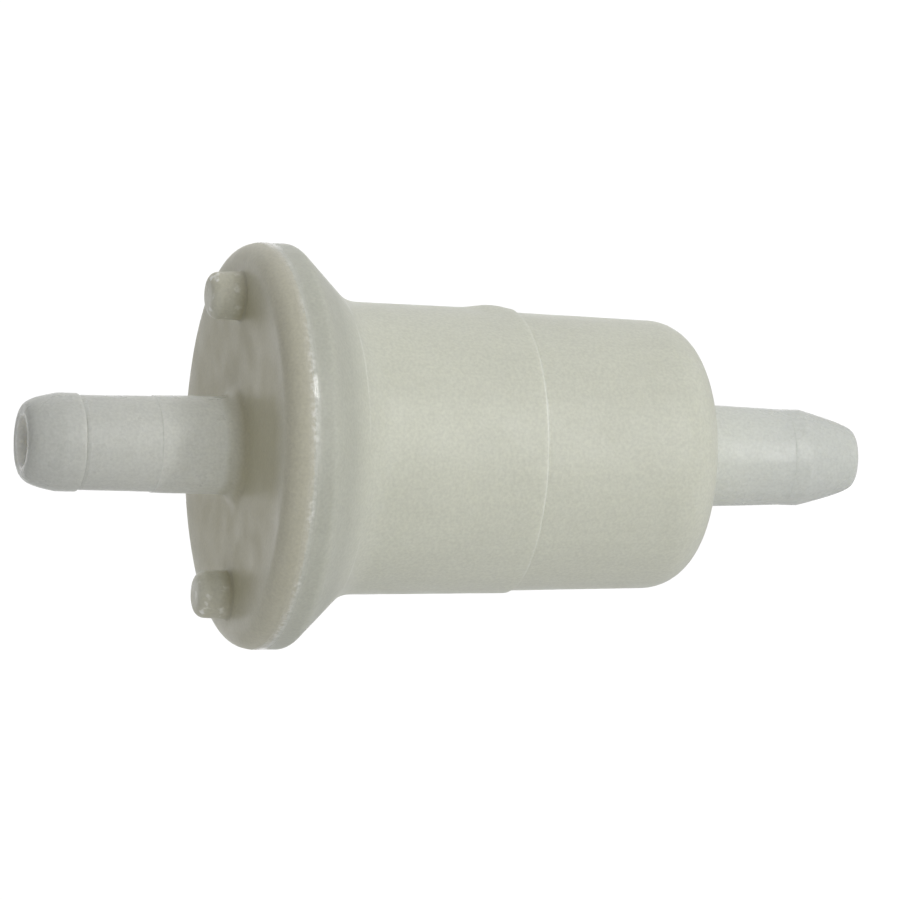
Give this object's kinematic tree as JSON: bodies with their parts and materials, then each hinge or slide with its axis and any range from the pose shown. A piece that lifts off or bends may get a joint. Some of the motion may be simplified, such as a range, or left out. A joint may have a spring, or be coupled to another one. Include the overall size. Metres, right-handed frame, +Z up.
{
  "type": "inline fuel filter",
  "caption": "Small inline fuel filter: milky moulded shell with a wide welded cap, a stepped tapered body and a barbed hose nipple at each end, with a pleated paper element inside.",
  "frame": {"origin": "on the filter's axis, halfway between the two nipple tips", "axes": "+X along the axis from the inlet nipple to the outlet nipple, +Z up through the gate nub and one of the two cap posts"},
  "size_m": [0.0624, 0.029, 0.029],
  "materials": {
    "cap": "natural nylon, slightly browner and less glossy than the housing",
    "housing": "milky natural nylon, translucent, satin as moulded",
    "paper": "resin-treated filter paper, matt",
    "clip": "thin zinc-plated strip",
    "core": "natural nylon, matt",
    "disc": "off-white nylon, matt",
    "potting": "cured adhesive, slightly glossy",
    "rubber": "fuel-resistant rubber"
  },
  "bodies": {
    "root": {"inlet_cap": "cap", "housing": "housing", "filter_media": "paper", "media_seam_clip": "clip", "core_tube": "core", "closed_end_disc": "disc", "open_end_disc": "disc", "inlet_end_potting": "potting", "outlet_end_potting": "potting", "outlet_o_ring": "rubber"}
  },
  "joints": []
}
